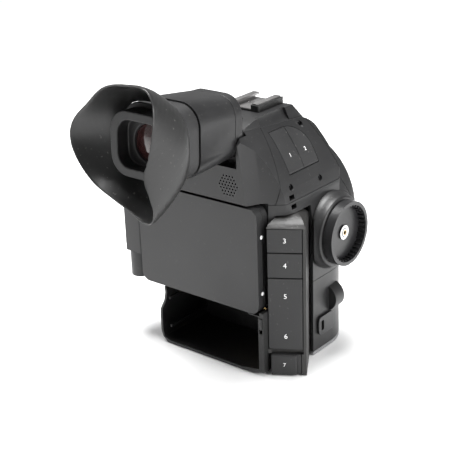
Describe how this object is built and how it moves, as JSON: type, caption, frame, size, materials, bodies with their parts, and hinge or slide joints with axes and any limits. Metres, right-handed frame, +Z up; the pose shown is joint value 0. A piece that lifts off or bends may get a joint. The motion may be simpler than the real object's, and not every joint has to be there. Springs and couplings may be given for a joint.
{
  "type": "digital cinema camera",
  "caption": "Compact digital cinema camera body with a tilting viewfinder and eyecup, fold-out display panel, hinged terminal covers, open battery bay, lens mount and grip mount.",
  "frame": {"origin": "mouth of the tripod socket in the underside, below the lens axis", "axes": "+Y along the lens axis towards the scene, +Z up, +X to the operator's right (the grip mount's side)"},
  "size_m": [0.1388, 0.1812, 0.2031],
  "materials": {
    "cover_plastic": "fine matte moulded",
    "frame_metal": "cast, matte",
    "board": "satin",
    "steel": "satin",
    "black_metal": "satin black",
    "rubber": "matte",
    "eye_rubber": "smooth matte",
    "bay_plastic": "dark satin",
    "contact": "gilt",
    "lens_glass": "coated",
    "screen_glass": "gloss",
    "sensor": "gloss",
    "panel_plastic": "satin"
  },
  "bodies": {
    "body": {"front_cover": "cover_plastic", "rear_top_cover": "cover_plastic", "left_shoulder": "cover_plastic", "right_shoulder": "cover_plastic", "left_side_cover": "cover_plastic", "right_side_cover": "cover_plastic", "rear_wall": "bay_plastic", "hump_cover": "cover_plastic", "lower_cover": "cover_plastic", "base_plate": "frame_metal", "battery_tray": "bay_plastic", "battery_contacts": "contact", "inner_frame": "frame_metal", "main_board": "board", "fan_frame": "bay_plastic", "image_sensor": "sensor", "lens_throat": "frame_metal", "mount_ring": "steel", "grip_collar": "cover_plastic", "grip_ring": "black_metal", "terminal_column": "cover_plastic", "terminal_jacks": "steel", "audio_jacks": "steel", "cover_screws": "black_metal", "display_hinge": "panel_plastic", "swing_pin": "steel", "evf_yoke": "black_metal", "evf_pin": "steel", "shoe_holder": "bay_plastic", "accessory_shoe": "steel", "strap_brackets": "black_metal", "tripod_bush": "steel", "feet": "rubber"},
    "viewfinder": {"evf_front": "cover_plastic", "evf_barrel": "cover_plastic", "evf_sleeve": "rubber", "eyecup": "eye_rubber", "eyepiece": "cover_plastic", "eyepiece_lens": "lens_glass"},
    "diopter": {"diopter_lever": "cover_plastic"},
    "hinge_arm": {"display_arm": "panel_plastic"},
    "panel": {"display_shell": "panel_plastic", "display_bezel": "panel_plastic", "display_screen": "screen_glass", "tilt_shaft": "steel"},
    "headphone_flap": {"headphone_cover": "rubber"},
    "remote_flap": {"remote_cover": "rubber"},
    "video_flap": {"video_cover": "rubber"},
    "power_flap": {"power_cover": "rubber"},
    "audio_flap_1": {"audio_cover_1": "rubber"},
    "audio_flap_2": {"audio_cover_2": "rubber"},
    "latch": {"battery_latch": "cover_plastic"},
    "release": {"release_button": "cover_plastic"},
    "lock": {"lock_pin": "steel"},
    "start": {"start_button": "cover_plastic"},
    "upper_key": {"key_1": "cover_plastic"},
    "lower_key": {"key_2": "cover_plastic"},
    "filter_wheel": {"nd_wheel": "bay_plastic"},
    "rotor": {"fan_rotor": "bay_plastic"}
  },
  "joints": [
    {"name": "viewfinder_tilt", "type": "hinge", "parent": "body", "child": "viewfinder", "pos_m": [0, -0.039, 0.1522], "axis": [-1, 0, 0], "range_deg": [-3, 65]},
    {"name": "diopter_turn", "type": "hinge", "parent": "viewfinder", "child": "diopter", "pos_m": [-0.026, -0.08056, 0.16179], "axis": [1, 0, 0], "range_deg": [-60, 60]},
    {"name": "panel_swing", "type": "hinge", "parent": "body", "child": "hinge_arm", "pos_m": [-0.0683, -0.048, 0.07805], "axis": [0, 0, -1], "range_deg": [0, 180]},
    {"name": "panel_tilt", "type": "hinge", "parent": "hinge_arm", "child": "panel", "pos_m": [-0.057, -0.04975, 0.07805], "axis": [1, 0, 0], "range_deg": [-90, 180]},
    {"name": "headphone_cover_swing", "type": "hinge", "parent": "body", "child": "headphone_flap", "pos_m": [0.05752, -0.03826, 0.0942], "axis": [0, 0, 1], "range_deg": [0, 90]},
    {"name": "remote_cover_swing", "type": "hinge", "parent": "body", "child": "remote_flap", "pos_m": [0.05752, -0.03826, 0.0762], "axis": [0, 0, 1], "range_deg": [0, 90]},
    {"name": "video_cover_swing", "type": "hinge", "parent": "body", "child": "video_flap", "pos_m": [0.05752, -0.03826, 0.0432], "axis": [0, 0, 1], "range_deg": [0, 90]},
    {"name": "power_cover_swing", "type": "hinge", "parent": "body", "child": "power_flap", "pos_m": [0.05649, -0.03889, 0.007], "axis": [0, 0, 1], "range_deg": [0, 90]},
    {"name": "audio_cover_1_swing", "type": "hinge", "parent": "body", "child": "audio_flap_1", "pos_m": [0.03926, -0.0179, 0.12889], "axis": [0, 1, 0], "range_deg": [0, 90]},
    {"name": "audio_cover_2_swing", "type": "hinge", "parent": "body", "child": "audio_flap_2", "pos_m": [0.03926, -0.0021, 0.12889], "axis": [0, 1, 0], "range_deg": [0, 90]},
    {"name": "battery_latch_slide", "type": "slide", "parent": "body", "child": "latch", "axis": [0, 0, -1], "range_m": [0, 0.003], "stiffness_N_per_m": 300, "springref_m": -0.001},
    {"name": "lens_release_press", "type": "slide", "parent": "body", "child": "release", "axis": [0, -1, 0], "range_m": [0, 0.0015], "stiffness_N_per_m": 400, "springref_m": -0.001},
    {"name": "lock_pin_slide", "type": "slide", "parent": "body", "child": "lock", "axis": [0, -1, 0], "range_m": [0, 0.0015]},
    {"name": "start_press", "type": "slide", "parent": "body", "child": "start", "axis": [0, -1, 0], "range_m": [0, 0.001], "stiffness_N_per_m": 300, "springref_m": -0.001},
    {"name": "key_1_press", "type": "slide", "parent": "body", "child": "upper_key", "axis": [1, 0, 0], "range_m": [0, 0.0008], "stiffness_N_per_m": 300, "springref_m": -0.0005},
    {"name": "key_2_press", "type": "slide", "parent": "body", "child": "lower_key", "axis": [1, 0, 0], "range_m": [0, 0.0008], "stiffness_N_per_m": 300, "springref_m": -0.0005},
    {"name": "filter_wheel_turn", "type": "hinge", "parent": "body", "child": "filter_wheel", "pos_m": [-0.008, 0.0065, 0.0702], "axis": [0, 1, 0], "range_deg": [0, 270]},
    {"name": "fan_spin", "type": "hinge", "parent": "body", "child": "rotor", "pos_m": [0.022, -0.01, 0.0862], "axis": [0, 1, 0], "continuous": true}
  ],
  "couplings": [
    {"joint": "panel_tilt", "follows": "panel_swing", "ratio": 0.15},
    {"joint": "lock_pin_slide", "follows": "lens_release_press", "ratio": 1}
  ]
}
